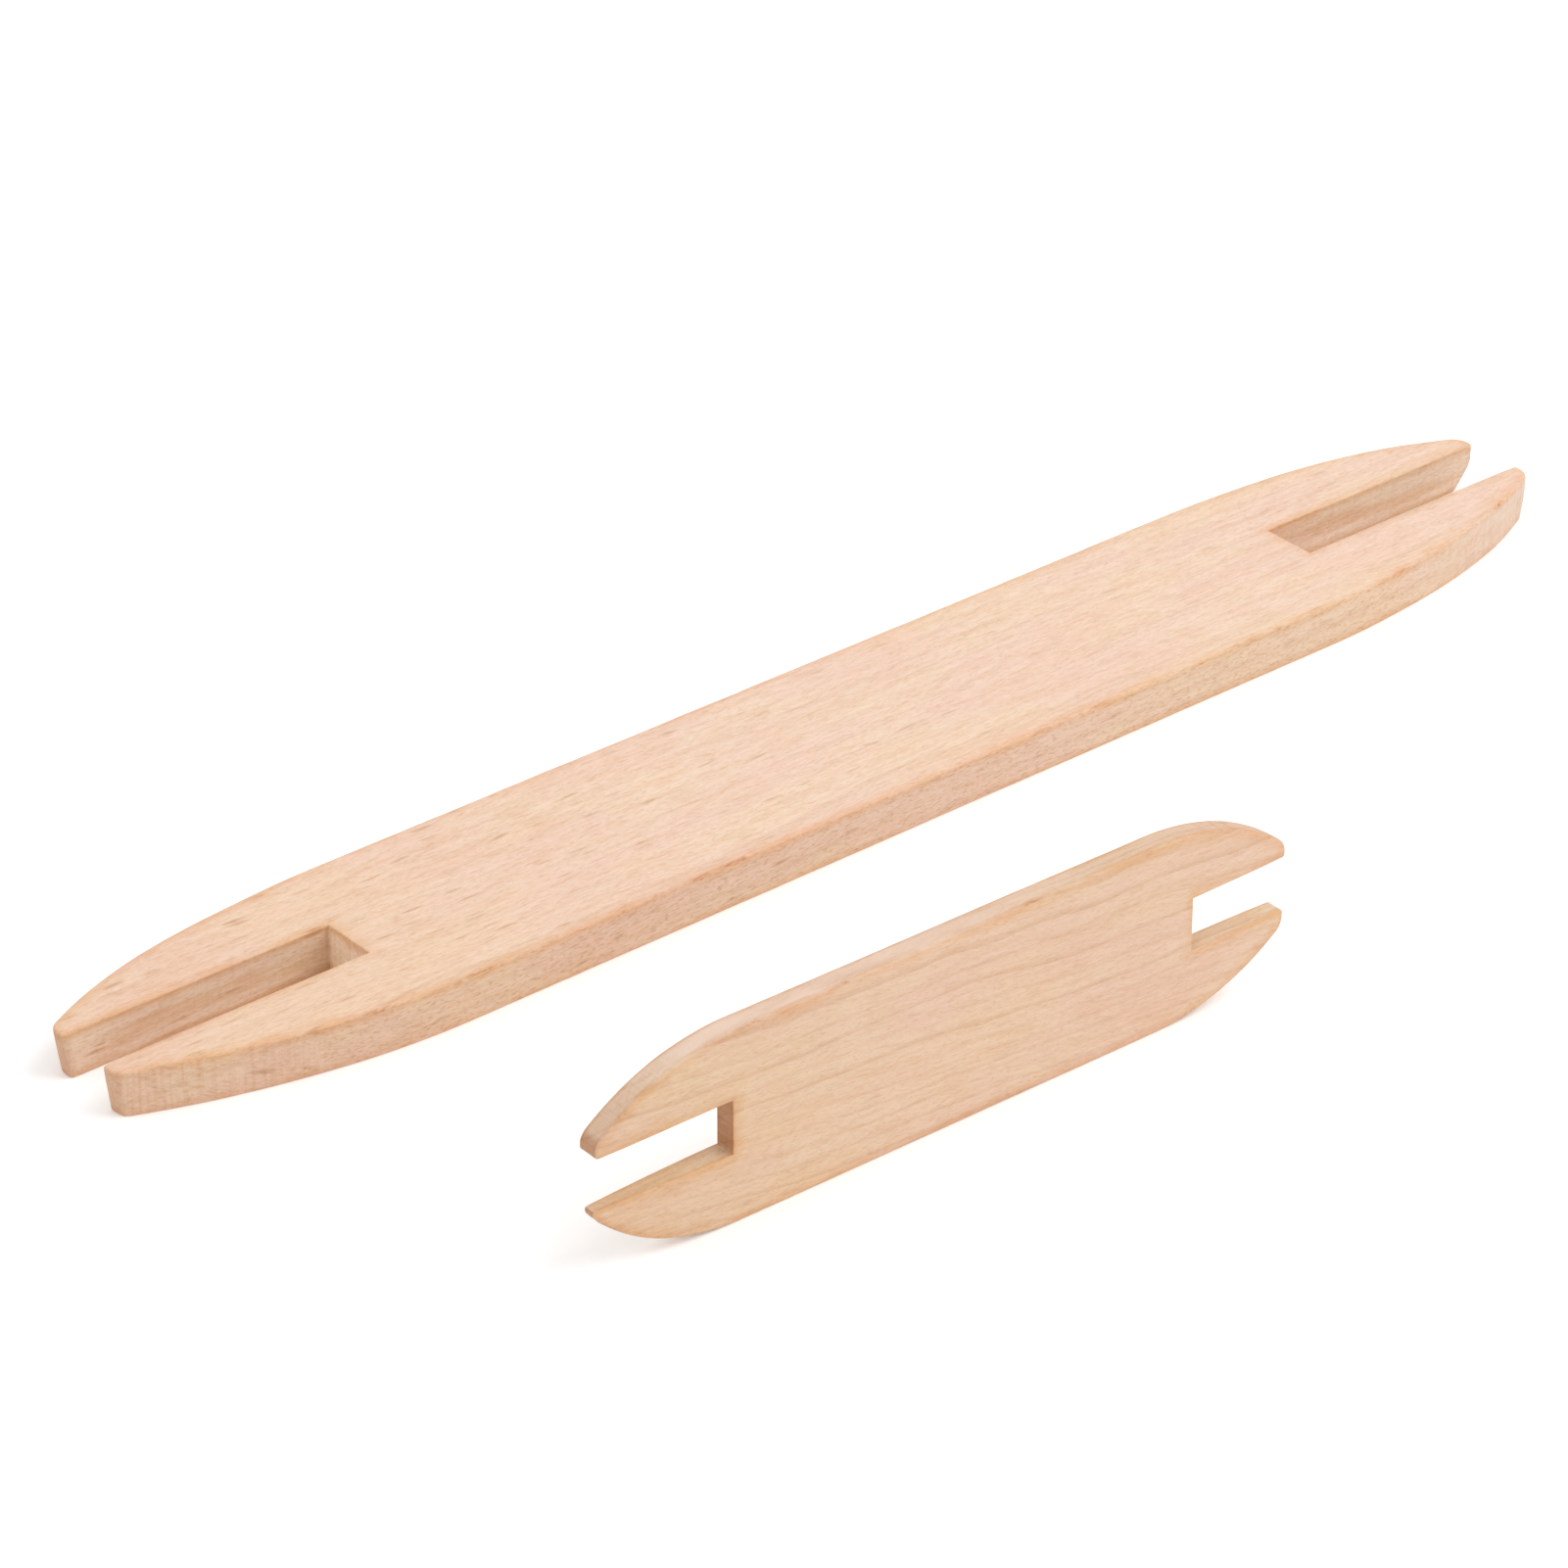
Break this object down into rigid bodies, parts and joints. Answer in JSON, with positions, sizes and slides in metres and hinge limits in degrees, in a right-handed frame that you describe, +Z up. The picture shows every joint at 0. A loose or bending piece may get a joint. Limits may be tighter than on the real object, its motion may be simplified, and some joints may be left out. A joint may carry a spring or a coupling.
{
  "type": "stick shuttle set",
  "caption": "Set of flat beech stick shuttles, a long and a short, each with blunt prongs around a square-bottomed slot at either end, for winding and passing weft yarn.",
  "frame": {"origin": "middle of the long shuttle's underside, on the surface that both shuttles rest on", "axes": "+X along the long shuttle towards its right end, +Y across it away from the short shuttle, +Z up"},
  "size_m": [0.3, 0.1118, 0.0335],
  "materials": {
    "beech_long": "bare sanded beech, pale pinkish tan, satin, with fine ray flecks",
    "beech_short": "bare sanded beech, pale tan, satin, with soft growth lines"
  },
  "bodies": {
    "long": {"long_shuttle": "beech_long"},
    "short": {"short_shuttle": "beech_short"}
  },
  "joints": [
    {"name": "short_shuttle_lift", "type": "slide", "parent": "long", "child": "short", "axis": [0, 0, 1], "range_m": [0, 0.1]}
  ]
}
